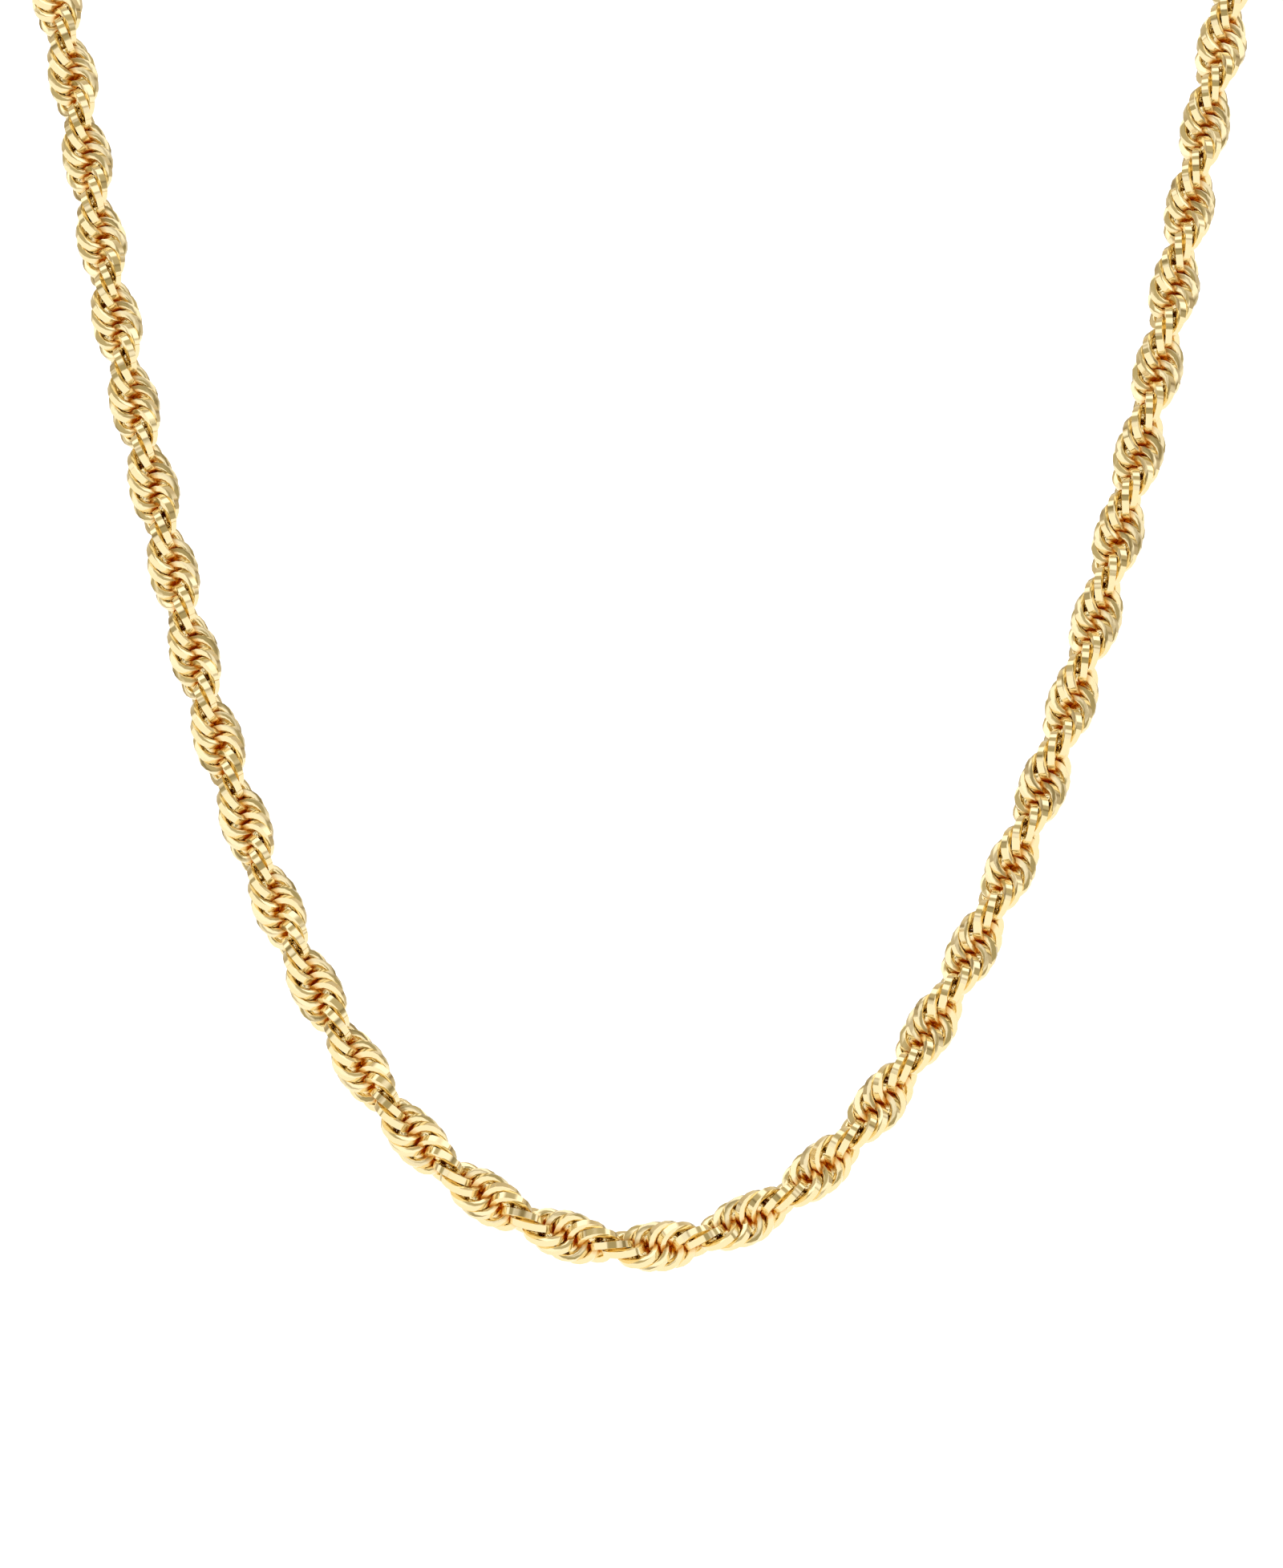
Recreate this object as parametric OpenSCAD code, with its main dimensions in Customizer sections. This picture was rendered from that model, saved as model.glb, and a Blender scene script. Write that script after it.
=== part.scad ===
// Rope chain necklace: a thick twisted chain in one loop, shown hanging in a U,
// with an end cap and eye on each end and one plain closed clasp at the nape.
// Millimetres, +Z up. The front of the neck faces -Y. The origin is on the face
// of the clasp that lies against the nape.

/* [Rope] */
// Width of the rope across both of its strands
rope_d = 5; // [4.2:0.1:6]
// Thickness of one strand, which is the rope's narrow width
strand_d = 3; // [2.6:0.1:3.6]
// Thickness of the rope at the seam between its strands
seam_w = 2.2; // [1.4:0.1:2.6]
// Length of rope in which the strands change sides once
half_turn = 8.6; // [6:0.1:12]
// Turn of the strands at the lowest point of the loop, in degrees
front_turn = 47; // [0:1:179]

/* [End caps] */
// Depth of the cup that takes the rope
cup_depth = 4; // [2:0.25:6]
// Thickness of the cup's wall
cup_wall = 0.4; // [0.3:0.05:0.8]
// Thickness of the cup's closed end
cup_base = 1; // [0.6:0.1:2]
// Rounding of the cup's closed end
cup_round = 0.6; // [0.2:0.05:0.9]
// Gap between the rope and the cup
cup_gap = 0.15; // [0.1:0.05:0.3]
// Thickness of the eye's wire
eye_wire = 1.2; // [0.8:0.1:1.6]
// Gap between the eye and the wire of the clasp
eye_gap = 0.25; // [0.15:0.05:0.3]

/* [Clasp] */
// Length of the clasp
clasp_l = 15; // [13:0.5:20]
// Height of the clasp
clasp_h = 6.8; // [6.2:0.2:9]
// Thickness of the clasp's wire
clasp_wire = 2; // [1.4:0.1:2.2]

/* [Hidden] */
$fn = 48;

// Rings of the rope's mesh between two points of its route
steps = 12;
// Corners on the outer half of one strand
corners = 5;

eye_r = (clasp_wire + eye_wire) / 2 + eye_gap;
eye_x = (clasp_l - clasp_wire) / 2;
cap_x = eye_x + eye_r;
cup_r = rope_d / 2 + cup_gap;
cap_y = clasp_wire / 2;
rope_x = cap_x + cup_base + cup_gap;

// Places that the rope passes near, from the left end round the front to the right
route = concat([[-rope_x, cap_y, 0]], [
    [-27.5, 1, 0],
    [-44.5, -6, -3],
    [-57, -18.5, -7],
    [-63, -34, -14.5],
    [-62.5, -48.5, -26],
    [-60, -61, -39.5],
    [-55.5, -73, -53],
    [-52.5, -78.5, -70.5],
    [-49.5, -86, -86.5],
    [-45.5, -91, -103],
    [-41.5, -96.5, -119.5],
    [-36, -100.5, -136.5],
    [-28.5, -103.5, -152.5],
    [-18, -105.5, -166.5],
    [0, -106.5, -174.5],
    [17, -105.5, -166.5],
    [27.5, -103.5, -152],
    [35.5, -100.5, -136],
    [41.5, -96.5, -119.5],
    [46, -91.5, -103],
    [50, -86, -86.5],
    [53, -79, -70.5],
    [56.5, -73, -53.5],
    [60, -61, -39.5],
    [62.5, -48.5, -26],
    [63, -34, -14.5],
    [57, -18.5, -7],
    [44.5, -6, -3],
    [27.5, 1, 0]
], [[rope_x, cap_y, 0]]);

function unit(v) = v / norm(v);

// Even cubic curve that starts and ends on the first and last place
spans = len(route) - 1;
function guide(i) = i < 0 ? 2 * route[0] - route[1]
    : i > spans ? 2 * route[spans] - route[spans - 1]
    : route[i];
function along(i, t) = (
    pow(1 - t, 3) * guide(i - 1)
    + (3 * pow(t, 3) - 6 * pow(t, 2) + 4) * guide(i)
    + (3 * t + 3 * pow(t, 2) - 3 * pow(t, 3) + 1) * guide(i + 1)
    + pow(t, 3) * guide(i + 2)) / 6;

last = spans * steps;
mid = last / 2;
line = [for (k = [0:last])
    let (i = min(floor(k / steps), spans - 1))
    along(i, k / steps - i)];
heading = [for (k = [0:last]) unit(line[min(k + 1, last)] - line[max(k - 1, 0)])];

// Distance along the rope from its left end to each ring
run = [for (k = 0, s = 0; k <= last;
    s = s + (k < last ? norm(line[k + 1] - line[k]) : 0), k = k + 1) s];

// A side of the rope carried along it without twist, from the front both ways
function carried(v, k) = unit(v - (v * heading[k]) * heading[k]);
front = carried([0, -1, 0], mid);
side_right = [for (k = mid, v = front; k <= last;
    k = k + 1, v = k <= last ? carried(v, k) : v) v];
side_left = [for (k = mid, v = front; k >= 0;
    k = k - 1, v = k >= 0 ? carried(v, k) : v) v];
side = concat([for (k = [mid:-1:1]) side_left[k]], side_right);

// Section of the rope: two round strands side by side with a seam between them
strand_x = (rope_d - strand_d) / 2;
half = [for (c = [0:corners - 1])
    let (a = -90 + 180 * c / (corners - 1))
    [strand_x + strand_d / 2 * cos(a), strand_d / 2 * sin(a)]];
section = concat(half, [[0, seam_w / 2]], -half, [[0, -seam_w / 2]]);
sides = len(section);

function ring(k) =
    let (turn = front_turn + 180 * (run[k] - run[mid]) / half_turn)
    let (u = side[k], v = cross(heading[k], side[k]))
    let (a = cos(turn) * u + sin(turn) * v, b = cos(turn) * v - sin(turn) * u)
    [for (q = section) line[k] + q.x * a + q.y * b];

module rope() {
    color("gold")
    polyhedron(
        points = [for (k = [0:last]) each ring(k)],
        faces = concat(
            [[for (c = [0:sides - 1]) c]],
            [for (k = [0:last - 1], c = [0:sides - 1])
                let (d = (c + 1) % sides, p = k * sides, q = p + sides)
                each [[p + c, q + c, q + d], [p + c, q + d, p + d]]],
            [[for (c = [sides - 1:-1:0]) last * sides + c]]
        ),
        convexity = 10
    );
}

// Cup over the rope's end with the eye soldered to its closed end, opening to +X
module end_cap() {
    translate([eye_x, cap_y, 0])
    rotate_extrude()
    translate([eye_r, 0])
    circle(d = eye_wire);
    translate([cap_x, cap_y, 0])
    rotate([0, 90, 0])
    rotate_extrude()
    difference() {
        union() {
            square([cup_r + cup_wall - cup_round, cup_base]);
            translate([0, cup_round])
            square([cup_r + cup_wall, cup_base + cup_depth - cup_round]);
            translate([cup_r + cup_wall - cup_round, cup_round])
            circle(r = cup_round);
        }
        translate([-cup_r, cup_base])
        square([2 * cup_r, cup_depth + 1]);
        translate([-2 * cup_r, -1])
        square([2 * cup_r, cup_base + cup_depth + 2]);
    }
}

module end_cap_right() {
    color("gold") end_cap();
}

module end_cap_left() {
    color("gold") mirror([1, 0, 0]) end_cap();
}

// Half of the clasp's rounded end, swept round the place where the eye sits
bow_r = (clasp_h - clasp_wire) / 2;
bow_x = (clasp_l - clasp_h) / 2;

module bow() {
    translate([bow_x, cap_y, 0])
    rotate([90, 0, 0])
    rotate([0, 0, -90])
    rotate_extrude(angle = 180)
    translate([bow_r, 0])
    circle(d = clasp_wire);
}

module clasp() {
    color("gold") {
        bow();
        mirror([1, 0, 0]) bow();
        for (s = [-1, 1])
            translate([0, cap_y, s * bow_r])
            rotate([0, 90, 0])
            cylinder(h = 2 * bow_x, d = clasp_wire, center = true);
    }
}

rope();
end_cap_left();
end_cap_right();
clasp();
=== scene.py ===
import math
import bpy
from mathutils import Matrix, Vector


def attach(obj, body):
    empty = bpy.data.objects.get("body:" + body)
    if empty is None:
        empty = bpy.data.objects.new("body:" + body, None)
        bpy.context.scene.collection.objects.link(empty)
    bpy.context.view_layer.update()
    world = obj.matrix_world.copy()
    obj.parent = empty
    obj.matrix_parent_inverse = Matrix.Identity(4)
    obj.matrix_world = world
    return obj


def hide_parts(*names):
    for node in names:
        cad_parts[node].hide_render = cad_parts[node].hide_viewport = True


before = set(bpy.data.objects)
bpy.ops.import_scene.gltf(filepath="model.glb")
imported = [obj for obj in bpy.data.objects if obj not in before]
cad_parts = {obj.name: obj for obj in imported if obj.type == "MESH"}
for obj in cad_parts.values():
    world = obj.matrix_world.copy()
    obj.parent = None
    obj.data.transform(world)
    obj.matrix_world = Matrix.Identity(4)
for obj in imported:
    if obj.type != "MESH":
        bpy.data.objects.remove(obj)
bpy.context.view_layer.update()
scene = bpy.context.scene
print("rope chain: the packed model is loaded")


# The picture is 1600 x 1955. It is taken level and from far off, straight at the front of the chain.
shot = {
    "high": 0.1481,  # what the picture takes in from top to bottom, at the front of the chain
    "away": 2.2,  # from the camera to the front of the chain
    "aim": (0.00015, -0.106, -0.12805),
    "tilt": 90,  # degrees up from looking straight down
    "sensor": 36,
    "near": 0.05,  # the camera sees nothing nearer
    "far": 60,  # and nothing further
}


def makeCamera():
    lens = bpy.data.cameras.new("camera")
    lens.sensor_width = shot["sensor"]
    lens.lens = shot["sensor"] * shot["away"] / shot["high"]
    lens.clip_start = shot["near"]
    lens.clip_end = shot["far"]
    camera = bpy.data.objects.new("camera", lens)
    camera.location = Vector(shot["aim"]) - Vector((0, shot["away"], 0))
    camera.rotation_euler = (math.radians(shot["tilt"]), 0, 0)
    scene.collection.objects.link(camera)
    scene.camera = camera


makeCamera()
print("rope chain: the camera stands")


# Helpers for nodes: a value is always a socket to link or a plain value
def addNode(tree, kind, **settings):
    node = tree.nodes.new(kind)
    for name, value in settings.items():
        setattr(node, name, value)
    return node


def feed(tree, socket, value):
    if isinstance(value, bpy.types.NodeSocket):
        tree.links.new(value, socket)
    else:
        socket.default_value = value


def plug(tree, node, **wires):
    # each word is a socket's name, with _ for a space
    for name, value in wires.items():
        feed(tree, node.inputs[name.replace("_", " ")], value)
    return node


def calc(tree, operation, *terms):
    node = addNode(tree, "ShaderNodeMath", operation=operation)
    for socket, term in zip(node.inputs, terms):
        feed(tree, socket, term)
    return node.outputs[0]


def arrow(tree, operation, *terms):
    node = addNode(tree, "ShaderNodeVectorMath", operation=operation)
    for socket, term in zip(node.inputs, terms):
        feed(tree, socket, term)
    return node.outputs["Value" if operation in ("DOT_PRODUCT", "LENGTH") else "Vector"]


def stretch(tree, vector, scale):
    node = addNode(tree, "ShaderNodeVectorMath", operation="SCALE")
    return plug(tree, node, Vector=vector, Scale=scale).outputs["Vector"]


def join(tree, x, y, z):
    return plug(tree, addNode(tree, "ShaderNodeCombineXYZ"), X=x, Y=y, Z=z).outputs[0]


def mixColors(tree, factor, first, second, blend="MIX"):
    mix = addNode(tree, "ShaderNodeMix", data_type="RGBA", blend_type=blend)
    plug(tree, mix, Factor=factor)
    sockets = [socket for socket in mix.inputs if socket.type == "RGBA"]
    for socket, value in zip(sockets, (first, second)):
        feed(tree, socket, value)
    return [socket for socket in mix.outputs if socket.type == "RGBA"][0]


# Polished yellow gold: smoother where the chain is buffed and duller deep inside it, with a warm dark painted
# shade and painted reflection towards the rope's axis
gold = {
    "bright": (0.915, 0.785, 0.49, 1),
    # dark orange that paints shade and reflection near the rope's axis; plain pieces take a little of it at
    # random
    "deep": (0.63, 0.28, 0.01, 1),
    "deepTo": 0.24,  # share of the rope's half width up to which the painted shade is full
    "brightFrom": 0.47,  # share from which no shade is painted and the gold is bright
    "polish": 0.07,
    "dull": 0.22,
    "marks": 0.05,  # how much duller the gold gets in faint clouds
    "clouds": 900,
    "cloudDetail": 3,
    "cloudSpan": (0.2, 0.5),  # cloud values at which a plain piece is least and most buffed
    "plainLeast": 0.85,  # how buffed a plain piece is at least
    "grain": 6000,
    "grainDetail": 2,
    "grainDepth": 0.00001,
    "grainStrength": 0.1,
}


def makeGold(name, usesDepth):
    material = bpy.data.materials.new(name)
    material.use_nodes = True
    tree = material.node_tree
    place = addNode(tree, "ShaderNodeTexCoord").outputs["Object"]
    cloud = addNode(tree, "ShaderNodeTexNoise")
    plug(tree, cloud, Vector=place, Scale=gold["clouds"], Detail=gold["cloudDetail"])
    grain = addNode(tree, "ShaderNodeTexNoise")
    plug(tree, grain, Vector=place, Scale=gold["grain"], Detail=gold["grainDetail"])
    if usesDepth:
        # the links carry how far they are from the rope's axis; nearer it, shade is painted into the gold
        depth = addNode(tree, "ShaderNodeAttribute", attribute_name="fromAxis").outputs["Fac"]
        reach = addNode(tree, "ShaderNodeMapRange", interpolation_type="SMOOTHSTEP")
        plug(tree, reach, Value=depth, From_Min=gold["deepTo"], From_Max=gold["brightFrom"])
    else:
        low, high = gold["cloudSpan"]
        reach = addNode(tree, "ShaderNodeMapRange")
        plug(tree, reach, Value=cloud.outputs["Fac"], From_Min=low, From_Max=high, To_Min=gold["plainLeast"])
    # share of bright gold: on the links it falls towards the rope's axis, painting shade there, and sets how
    # buffed they are; on plain pieces it varies at random in clouds
    brightShare = reach.outputs["Result"]
    rough = addNode(tree, "ShaderNodeMapRange")
    plug(tree, rough, Value=brightShare, To_Min=gold["dull"], To_Max=gold["polish"])
    clouded = calc(tree, "MULTIPLY_ADD", cloud.outputs["Fac"], gold["marks"], rough.outputs["Result"])
    bump = addNode(tree, "ShaderNodeBump")
    plug(tree, bump, Strength=gold["grainStrength"], Distance=gold["grainDepth"], Height=grain.outputs["Fac"])
    shader = tree.nodes["Principled BSDF"]
    # the colour: painted shade near the rope's axis, bright gold away from it
    plug(tree, shader, Metallic=1, Base_Color=mixColors(tree, brightShare, gold["deep"], gold["bright"]))
    plug(tree, shader, Roughness=clouded, Normal=bump.outputs["Normal"])
    return material


goldLinks = makeGold("polishedGold", True)
goldPlain = makeGold("plainGold", False)
print("rope chain: gold is mixed")


# The rope: open, nearly round links, all alike, laid in pairs in two strands
rope = {
    "wide": 0.005,  # across both strands
    "capPlace": (0.0095, 0.001),  # the rope's end in its cup: out from the middle, and back
    "halfTurn": 0.0086,  # length in which the strands change sides once
    "frontTurn": 47,  # turn of the strands at the lowest point, in degrees
    "perHalfTurn": 7.19,  # links of one strand in half a turn
    "ringAcross": 0.335,  # radius of a link's outer half across the rope, as a share of the rope's width
    "ringInner": 0.32,  # the same for its inner half
    "ringAlong": 0.34,  # radius of a link along the rope
    "offset": 0.058,  # from the rope's axis to the link's middle
    "lean": -8,  # of the link to the rope's axis, in degrees
    "twist": -18,  # turn of the wire's section at the link's top and bottom, in degrees
    "pairShift": 0.015,  # how far each link of a pair is moved along the rope to the other
    "pairTurn": 2,  # how far each is turned to the other, in degrees
    "wireWide": 0.18,  # the wire across the link
    "wireThick": 0.17,  # the wire from outside to inside
    "face": 0.72,  # width of the flat outer face, as a share of the wire's
    "innerFace": 0.687,  # the same for the inner face
    "gap": 60,  # opening of a link, in degrees; it faces the rope's axis
    "linkSides": 16,
    "wireSides": 6,
    "stepsPerSpan": 24,  # of the guide line, from one place of the route to the next
}

# the places that guide the rope, in millimetres, from the left cap round the front to the right cap
route = [
    (-27.5, 1, 0), (-44.5, -6, -3), (-57, -18.5, -7), (-63, -34, -14.5), (-62.5, -48.5, -26),
    (-60, -61, -39.5), (-55.5, -73, -53), (-52.5, -78.5, -70.5), (-49.5, -86, -86.5),
    (-45.5, -91, -103), (-41.5, -96.5, -119.5), (-36, -100.5, -136.5), (-28.5, -103.5, -152.5),
    (-18, -105.5, -166.5), (0, -106.5, -174.5), (17, -105.5, -166.5), (27.5, -103.5, -152),
    (35.5, -100.5, -136), (41.5, -96.5, -119.5), (46, -91.5, -103), (50, -86, -86.5),
    (53, -79, -70.5), (56.5, -73, -53.5), (60, -61, -39.5), (62.5, -48.5, -26),
    (63, -34, -14.5), (57, -18.5, -7), (44.5, -6, -3), (27.5, 1, 0),
]


def evenPlace(a, b, c, d, t):
    # a place on the even cubic curve that four places guide, from near b (t = 0) to near c (t = 1)
    return (
        (1 - t) ** 3 * a + (3 * t ** 3 - 6 * t ** 2 + 4) * b
        + (1 + 3 * t + 3 * t ** 2 - 3 * t ** 3) * c + t ** 3 * d) / 6


def carrySides(headings):
    # a side for each place of the line: it faces the camera at the middle and is carried without twist
    sides = [None] * len(headings)
    for way in (1, -1):
        side = Vector((0, -1, 0))
        k = len(headings) // 2
        while 0 <= k < len(headings):
            side = (side - side.dot(headings[k]) * headings[k]).normalized()
            sides[k] = side
            k += way
    return sides


def ropeLine():
    # the rope's axis, with its sides, its length, and how far along it the lowest point is
    millimetre = 0.001
    out, back = rope["capPlace"]
    places = [Vector((-out, back, 0))]
    places += [Vector(place) * millimetre for place in route]
    places += [Vector((out, back, 0))]
    before = 2 * places[0] - places[1]
    after = 2 * places[-1] - places[-2]
    guides = [before] + places + [after]
    steps = rope["stepsPerSpan"]
    line = []
    for span in range(len(places) - 1):
        for step in range(steps):
            line.append(evenPlace(*guides[span:span + 4], step / steps))
    line.append(evenPlace(*guides[-4:], 1))
    last = len(line) - 1
    headings = [(line[min(k + 1, last)] - line[max(k - 1, 0)]).normalized() for k in range(len(line))]
    run = [0]
    for k in range(1, len(line)):
        run.append(run[-1] + (line[k] - line[k - 1]).length)
    return line, carrySides(headings), run[-1], run[len(line) // 2]


halfCircle = math.pi
strands = 2  # they lie opposite each other
pairLinks = 2  # links of one strand in a pair
sideBand = 0.1  # of the wire's corners on a circle of radius 1, the side ones are this near its middle line
sameCorner = 0.1  # two corner numbers this near are one corner
besideFace = 0.9  # the face's corners are 0.5 from its middle in number, and the next ones 1.5
# Curve to Mesh turns the section's -Y side outwards, which lies between its corners 4 and 5
outwardSide = -1.0
faceMiddle = 4.5


def bendRing(tree, given):
    # the middle line of one link: an open ring that stands along the rope and leans sideways
    index = addNode(tree, "GeometryNodeInputIndex").outputs[0]
    share = calc(tree, "DIVIDE", index, given["Link sides"])
    sweep = calc(tree, "SUBTRACT", 2 * halfCircle, given["Gap"])
    first = calc(tree, "MULTIPLY_ADD", given["Gap"], 0.5, halfCircle)
    angle = calc(tree, "MULTIPLY_ADD", share, sweep, first)
    swing = calc(tree, "SINE", angle)
    reach = calc(tree, "COSINE", angle)
    outside = calc(tree, "MULTIPLY", calc(tree, "MAXIMUM", reach, 0.0), given["Across"])
    inside = calc(tree, "MULTIPLY", calc(tree, "MINIMUM", reach, 0.0), given["Inner across"])
    along = calc(tree, "MULTIPLY", swing, given["Along"])
    leanSine = calc(tree, "SINE", given["Lean"])
    leanCosine = calc(tree, "COSINE", given["Lean"])
    x = calc(tree, "ADD", calc(tree, "ADD", outside, inside), given["Offset"])
    y = calc(tree, "MULTIPLY", along, leanSine)
    z = calc(tree, "MULTIPLY", along, leanCosine)
    points = addNode(tree, "GeometryNodeCurveArc", mode="RADIUS")
    plug(tree, points, Resolution=calc(tree, "ADD", given["Link sides"], 1.0))
    bent = addNode(tree, "GeometryNodeSetPosition")
    plug(tree, bent, Geometry=points.outputs[0], Position=join(tree, x, y, z))
    # the wire's section is turned about the wire, most at the link's top and bottom
    square = join(tree, 0.0, leanCosine, calc(tree, "MULTIPLY", leanSine, -1.0))
    tangent = addNode(tree, "GeometryNodeInputTangent").outputs[0]
    outward = arrow(tree, "CROSS_PRODUCT", square, tangent)
    twist = calc(tree, "MULTIPLY", swing, given["Twist"])
    kept = stretch(tree, square, calc(tree, "COSINE", twist))
    added = stretch(tree, outward, calc(tree, "SINE", twist))
    turned = addNode(tree, "GeometryNodeSetCurveNormal", mode="FREE")
    plug(tree, turned, Curve=bent.outputs[0], Normal=arrow(tree, "SUBTRACT", kept, added))
    return turned.outputs[0]


def cutSection(tree, given):
    # the wire's section has six corners: two at its sides, two on its flat outer face, two inside
    corners = addNode(tree, "GeometryNodeCurvePrimitiveCircle", mode="RADIUS")
    plug(tree, corners, Resolution=given["Wire sides"], Radius=1.0)
    corner = addNode(tree, "GeometryNodeInputPosition").outputs[0]
    spot = plug(tree, addNode(tree, "ShaderNodeSeparateXYZ"), Vector=corner)
    outwards = calc(tree, "MULTIPLY", spot.outputs["Y"], given["Outward side"])
    outer = calc(tree, "GREATER_THAN", outwards, sideBand)
    inner = calc(tree, "LESS_THAN", outwards, -sideBand)
    side = calc(tree, "SUBTRACT", calc(tree, "SUBTRACT", 1.0, outer), inner)
    innerReach = calc(tree, "MULTIPLY_ADD", inner, given["Inner face"], side)
    reach = calc(tree, "MULTIPLY_ADD", outer, given["Face"], innerReach)
    sideways = calc(tree, "MULTIPLY", calc(tree, "SIGN", spot.outputs["X"]), reach)
    wide = calc(tree, "MULTIPLY", sideways, given["Wire wide"])
    level = calc(tree, "MULTIPLY", calc(tree, "SUBTRACT", outer, inner), given["Outward side"])
    thick = calc(tree, "MULTIPLY", level, given["Wire thick"])
    place = join(tree, calc(tree, "MULTIPLY", wide, 0.5), calc(tree, "MULTIPLY", thick, 0.5), 0.0)
    cut = addNode(tree, "GeometryNodeSetPosition")
    plug(tree, cut, Geometry=corners.outputs[0], Position=place)
    return cut.outputs[0]


def markLink(tree, given, wire):
    # the two edges of the flat face stay crisp
    ends = addNode(tree, "GeometryNodeInputMeshEdgeVertices")
    oneCorner = calc(tree, "MODULO", ends.outputs["Vertex Index 1"], given["Wire sides"])
    otherCorner = calc(tree, "MODULO", ends.outputs["Vertex Index 2"], given["Wire sides"])
    alongWire = addNode(tree, "FunctionNodeCompare", data_type="FLOAT", operation="EQUAL")
    plug(tree, alongWire, A=oneCorner, B=otherCorner, Epsilon=sameCorner)
    fromFace = calc(tree, "ABSOLUTE", calc(tree, "SUBTRACT", oneCorner, given["Face middle"]))
    onFace = addNode(tree, "FunctionNodeCompare", data_type="FLOAT", operation="LESS_THAN")
    plug(tree, onFace, A=fromFace, B=besideFace)
    crisp = addNode(tree, "FunctionNodeBooleanMath", operation="AND")
    for socket, test in zip(crisp.inputs, (alongWire, onFace)):
        feed(tree, socket, test.outputs[0])
    edged = addNode(tree, "GeometryNodeStoreNamedAttribute", data_type="BOOLEAN", domain="EDGE")
    plug(tree, edged, Geometry=wire, Name="sharp_edge", Value=crisp.outputs[0])
    # how far each point of the wire is from the rope's axis, as a share of the rope's half width; the gold
    # paints shade by it
    here = addNode(tree, "GeometryNodeInputPosition").outputs[0]
    away = arrow(tree, "LENGTH", arrow(tree, "MULTIPLY", here, (1, 1, 0)))
    share = calc(tree, "DIVIDE", away, calc(tree, "MULTIPLY", given["Rope wide"], 0.5))
    marked = addNode(tree, "GeometryNodeStoreNamedAttribute", data_type="FLOAT", domain="POINT")
    plug(tree, marked, Geometry=edged.outputs[0], Name="fromAxis", Value=share)
    return marked.outputs[0]


def layLinks(tree, given, link):
    # the links are numbered along the rope, by turns in one strand and in the other
    row = plug(tree, addNode(tree, "GeometryNodeMeshLine"), Count=given["Links"])
    number = addNode(tree, "GeometryNodeInputIndex").outputs[0]
    even = calc(tree, "MULTIPLY_ADD", number, given["Spacing"], given["Start"])
    # the first link of a pair is moved and turned on, and the second back
    inPairs = calc(tree, "MODULO", number, float(strands * pairLinks))
    isFirst = calc(tree, "LESS_THAN", inPairs, strands - 0.5)
    way = calc(tree, "MULTIPLY_ADD", isFirst, 2.0, -1.0)
    run = calc(tree, "MULTIPLY_ADD", way, given["Pair shift"], even)
    # the place, the heading and the side there, read from the guide line
    guide = plug(tree, addNode(tree, "GeometryNodeMeshToCurve"), Mesh=given["Geometry"])
    side = addNode(tree, "GeometryNodeInputNamedAttribute", data_type="FLOAT_VECTOR")
    plug(tree, side, Name="side")
    sample = addNode(tree, "GeometryNodeSampleCurve", data_type="FLOAT_VECTOR", mode="LENGTH")
    sample.use_all_curves = True
    plug(tree, sample, Curves=guide.outputs[0], Length=run, Value=side.outputs["Attribute"])
    heading = sample.outputs["Tangent"]
    carried = sample.outputs["Value"]
    lengthwise = stretch(tree, heading, arrow(tree, "DOT_PRODUCT", carried, heading))
    u = arrow(tree, "NORMALIZE", arrow(tree, "SUBTRACT", carried, lengthwise))
    v = arrow(tree, "CROSS_PRODUCT", heading, u)
    # the strand winds round the rope's axis
    halfTurns = calc(tree, "DIVIDE", calc(tree, "SUBTRACT", even, given["Middle"]), given["Half turn"])
    strand = calc(tree, "MODULO", number, float(strands))
    wound = calc(tree, "ADD", halfTurns, strand)
    turn = calc(tree, "MULTIPLY_ADD", wound, halfCircle, given["Front turn"])
    turn = calc(tree, "MULTIPLY_ADD", way, given["Pair turn"], turn)
    uPart = stretch(tree, u, calc(tree, "COSINE", turn))
    vPart = stretch(tree, v, calc(tree, "SINE", turn))
    stand = addNode(tree, "FunctionNodeAxesToRotation", primary_axis="Z", secondary_axis="X")
    plug(tree, stand, Primary_Axis=heading, Secondary_Axis=arrow(tree, "ADD", uPart, vPart))
    placed = addNode(tree, "GeometryNodeSetPosition")
    plug(tree, placed, Geometry=row.outputs[0], Position=sample.outputs["Position"])
    laid = addNode(tree, "GeometryNodeInstanceOnPoints")
    plug(tree, laid, Points=placed.outputs[0], Instance=link, Rotation=stand.outputs[0])
    return laid.outputs[0]


decimal = "NodeSocketFloat"
whole = "NodeSocketInt"
metal = "NodeSocketMaterial"
linkInputs = [
    ("Links", whole), ("Start", decimal), ("Spacing", decimal), ("Middle", decimal),
    ("Half turn", decimal), ("Front turn", decimal), ("Pair shift", decimal), ("Pair turn", decimal),
    ("Rope wide", decimal), ("Across", decimal), ("Inner across", decimal), ("Along", decimal),
    ("Offset", decimal), ("Lean", decimal), ("Twist", decimal), ("Gap", decimal),
    ("Link sides", whole), ("Wire wide", decimal), ("Wire thick", decimal), ("Wire sides", whole),
    ("Face", decimal), ("Inner face", decimal), ("Outward side", decimal), ("Face middle", decimal),
    ("Material", metal),
]


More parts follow.
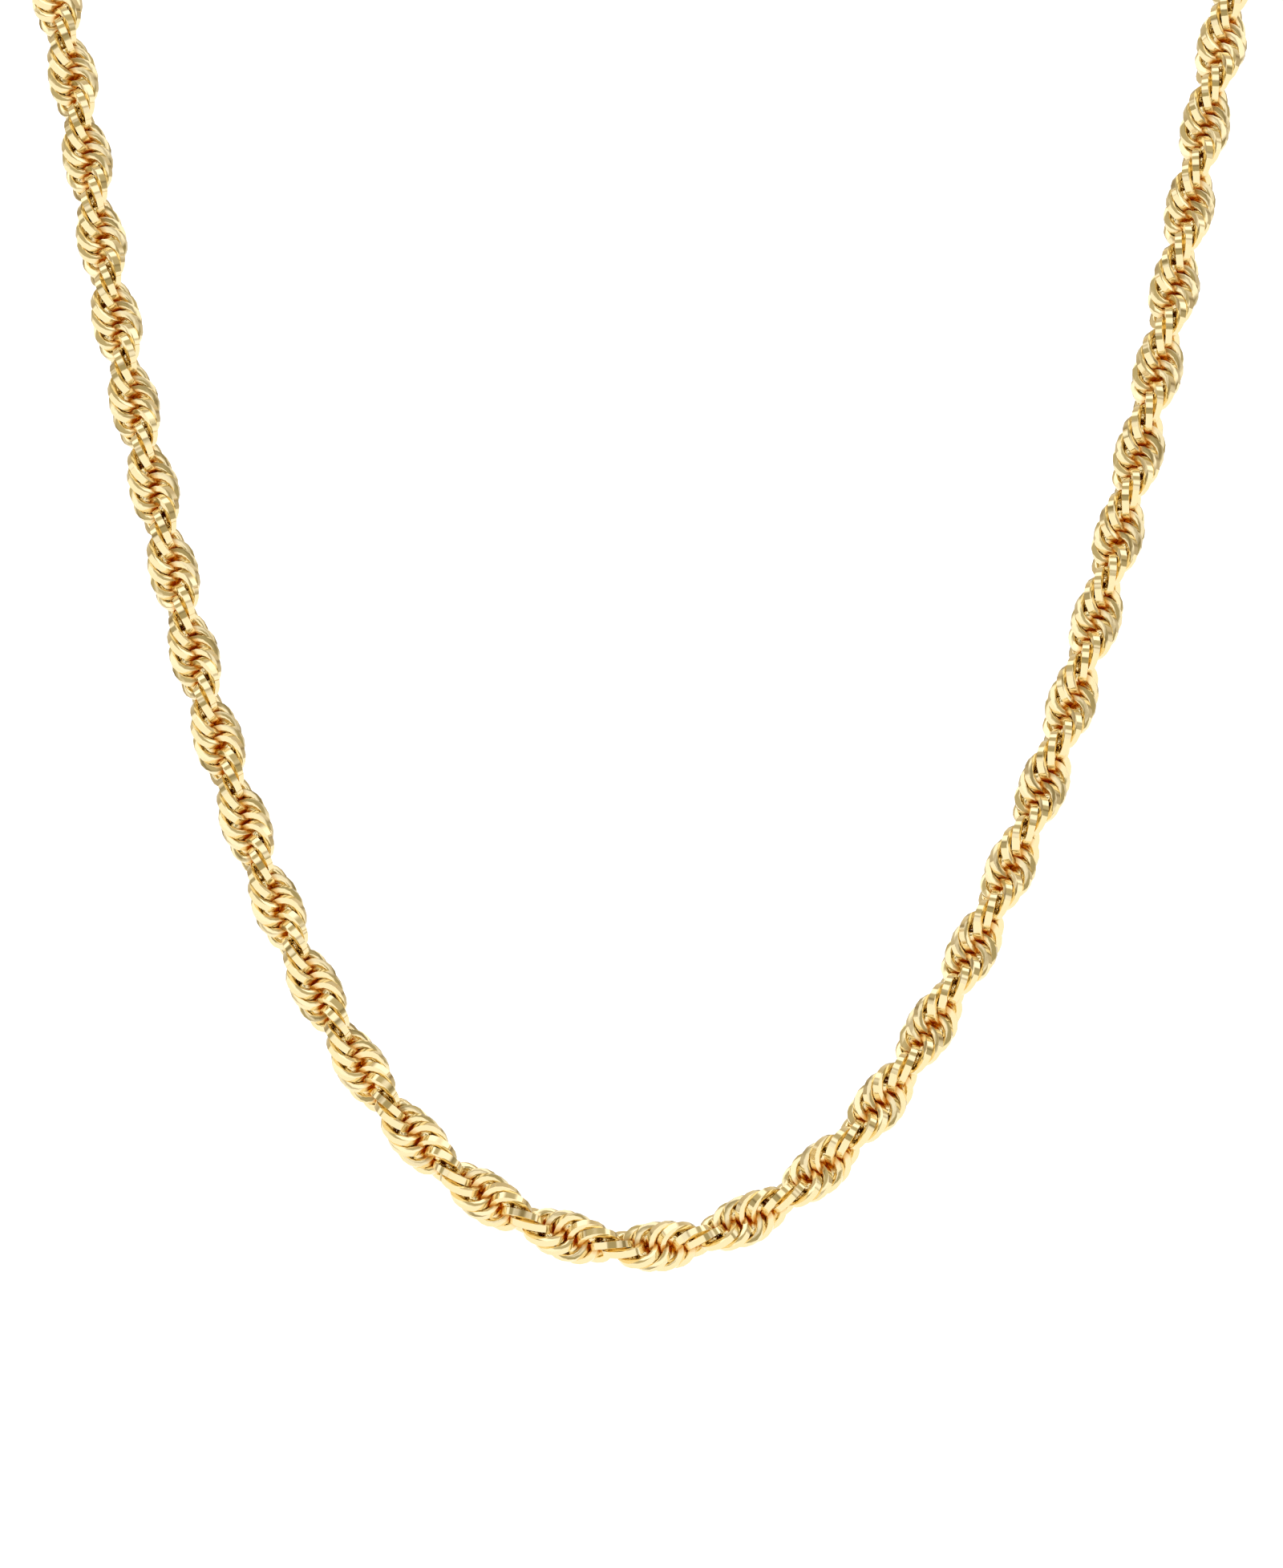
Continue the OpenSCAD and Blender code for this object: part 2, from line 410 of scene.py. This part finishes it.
def buildLinkTree():
    # makes the links from a guide line: one link, bent and marked, then laid along the line
    tree = bpy.data.node_groups.new("ropeLinks", "GeometryNodeTree")
    tree.is_modifier = True
    for way in ("INPUT", "OUTPUT"):
        tree.interface.new_socket("Geometry", in_out=way, socket_type="NodeSocketGeometry")
    for name, kind in linkInputs:
        tree.interface.new_socket(name, in_out="INPUT", socket_type=kind)
    given = tree.nodes.new("NodeGroupInput").outputs
    wire = addNode(tree, "GeometryNodeCurveToMesh")
    plug(tree, wire, Curve=bendRing(tree, given), Profile_Curve=cutSection(tree, given), Fill_Caps=True)
    link = markLink(tree, given, wire.outputs[0])
    laid = layLinks(tree, given, link)
    real = plug(tree, addNode(tree, "GeometryNodeRealizeInstances"), Geometry=laid)
    smooth = plug(tree, addNode(tree, "GeometryNodeSetShadeSmooth"), Geometry=real.outputs[0])
    finish = addNode(tree, "GeometryNodeSetMaterial")
    plug(tree, finish, Geometry=smooth.outputs[0], Material=given["Material"])
    plug(tree, tree.nodes.new("NodeGroupOutput"), Geometry=finish.outputs[0])
    return tree


def makeGuide(line, sides):
    mesh = bpy.data.meshes.new("ropeLine")
    mesh.from_pydata(line, [(k, k + 1) for k in range(len(line) - 1)], [])
    stored = mesh.attributes.new("side", "FLOAT_VECTOR", "POINT")
    stored.data.foreach_set("vector", [part for side in sides for part in side])
    guide = bpy.data.objects.new("ropeLine", mesh)
    scene.collection.objects.link(guide)
    return guide


def makeRope():
    line, sides, length, middle = ropeLine()
    wide = rope["wide"]
    spacing = rope["halfTurn"] / rope["perHalfTurn"] / strands
    margin = (rope["ringAlong"] + rope["wireThick"] / 2) * wide
    links = int((length - 2 * margin) / spacing) + 1
    values = {
        "Links": links,
        "Start": (length - (links - 1) * spacing) / 2,
        "Spacing": spacing,
        "Middle": middle,
        "Half turn": rope["halfTurn"],
        "Front turn": math.radians(rope["frontTurn"]),
        "Pair shift": rope["pairShift"] * wide,
        "Pair turn": math.radians(rope["pairTurn"]),
        "Rope wide": wide,
        "Across": rope["ringAcross"] * wide,
        "Inner across": rope["ringInner"] * wide,
        "Along": rope["ringAlong"] * wide,
        "Offset": rope["offset"] * wide,
        "Lean": math.radians(rope["lean"]),
        "Twist": math.radians(rope["twist"]),
        "Gap": math.radians(rope["gap"]),
        "Link sides": rope["linkSides"],
        "Wire wide": rope["wireWide"] * wide,
        "Wire thick": rope["wireThick"] * wide,
        "Wire sides": rope["wireSides"],
        "Face": rope["face"],
        "Inner face": rope["innerFace"],
        "Outward side": outwardSide,
        "Face middle": faceMiddle,
        "Material": goldLinks,
    }
    guide = makeGuide(line, sides)
    modifier = guide.modifiers.new("links", "NODES")
    modifier.node_group = buildLinkTree()
    for socket in modifier.node_group.interface.items_tree:
        if socket.in_out == "INPUT" and socket.name in values:
            modifier[socket.identifier] = values[socket.name]
    result = guide.evaluated_get(bpy.context.evaluated_depsgraph_get())
    piece = bpy.data.objects.new("rope_links", bpy.data.meshes.new_from_object(result))
    scene.collection.objects.link(piece)
    guide.modifiers.remove(modifier)
    bpy.data.objects.remove(guide)
    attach(piece, "root")
    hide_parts("rope")
    print("rope chain:", links, "links,", len(piece.data.polygons), "faces")


makeRope()


def finishFittings():
    for name in ("end_cap_left", "end_cap_right", "clasp"):
        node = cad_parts[name]
        node.data.materials.clear()
        node.data.materials.append(goldPlain)


finishFittings()
print("rope chain: caps and clasp are gold")


# A white floor and a tent of soft light round the chain, darker and warmer where the camera stands
studio = {
    "floor": -0.32,
    "floorWide": 4.4,
    "paper": (0.95, 0.95, 0.95, 1),
    "paperRough": 0.9,
    "paperGlow": 0.35,
    "glowColor": (1, 1, 1, 1),
    "behind": (1.25, 1.25, 1.25, 1),  # what the camera sees past the chain
    # brightness of the tent from the camera's side (0) to the far side (1)
    "depthwise": [
        (0, (0.44, 0.38, 0.23)), (0.035, (0.44, 0.38, 0.23)), (0.07, (1.03, 1.01, 0.98)),
        (0.2, (1.03, 1.01, 0.98)), (0.25, (0.46, 0.4, 0.26)), (0.38, (0.46, 0.4, 0.26)),
        (0.43, (1.18, 1.17, 1.14)), (0.56, (1.18, 1.17, 1.14)), (0.62, (0.5, 0.42, 0.3)),
        (1, (0.75, 0.68, 0.55)),
    ],
    # what it is multiplied by from straight below (0) to straight above (1)
    "upward": [
        (0, (0.5, 0.45, 0.36)), (0.25, (0.75, 0.7, 0.6)), (0.4, (1, 1, 1)), (0.625, (1, 1, 1)),
        (0.69, (0.55, 0.5, 0.42)), (0.75, (1.2, 1.2, 1.2)), (1, (1.2, 1.2, 1.2)),
    ],
    "bounces": 8,  # how often light may go from link to link
}


def makeFloor():
    mesh = bpy.data.meshes.new("floor")
    half = studio["floorWide"] / 2
    z = studio["floor"]
    corners = [(-half, -half, z), (half, -half, z), (half, half, z), (-half, half, z)]
    mesh.from_pydata(corners, [], [(0, 1, 2, 3)])
    floor = bpy.data.objects.new("floor", mesh)
    scene.collection.objects.link(floor)
    paper = bpy.data.materials.new("floorPaper")
    paper.use_nodes = True
    shader = paper.node_tree.nodes["Principled BSDF"]
    plug(paper.node_tree, shader, Base_Color=studio["paper"], Roughness=studio["paperRough"])
    plug(paper.node_tree, shader, Emission_Color=studio["glowColor"], Emission_Strength=studio["paperGlow"])
    mesh.materials.append(paper)


def tentLight(tree, direction, stops):
    # the tent's light along one axis, whose ends are at -1 and 1
    share = plug(tree, addNode(tree, "ShaderNodeMapRange"), Value=direction, From_Min=-1, From_Max=1)
    ramp = plug(tree, addNode(tree, "ShaderNodeValToRGB"), Fac=share.outputs["Result"])
    marks = ramp.color_ramp.elements
    while len(marks) < len(stops):
        marks.new(0.5)  # anywhere, as each mark is moved to its place below
    for mark, (place, color) in zip(marks, stops):
        mark.position = place
        mark.color = (*color, 1)
    return ramp.outputs["Color"]


def makeTent():
    world = bpy.data.worlds.new("tent")
    scene.world = world
    world.use_nodes = True
    tree = world.node_tree
    direction = addNode(tree, "ShaderNodeTexCoord").outputs["Generated"]
    parts = plug(tree, addNode(tree, "ShaderNodeSeparateXYZ"), Vector=direction)
    depthwise = tentLight(tree, parts.outputs["Y"], studio["depthwise"])
    upward = tentLight(tree, parts.outputs["Z"], studio["upward"])
    tent = mixColors(tree, 1, depthwise, upward, blend="MULTIPLY")
    seen = addNode(tree, "ShaderNodeLightPath").outputs["Is Camera Ray"]
    plug(tree, tree.nodes["Background"], Color=mixColors(tree, seen, tent, studio["behind"]))
    scene.cycles.glossy_bounces = studio["bounces"]
    scene.view_settings.view_transform = "Standard"


makeFloor()
makeTent()
print("rope chain: the studio is lit")
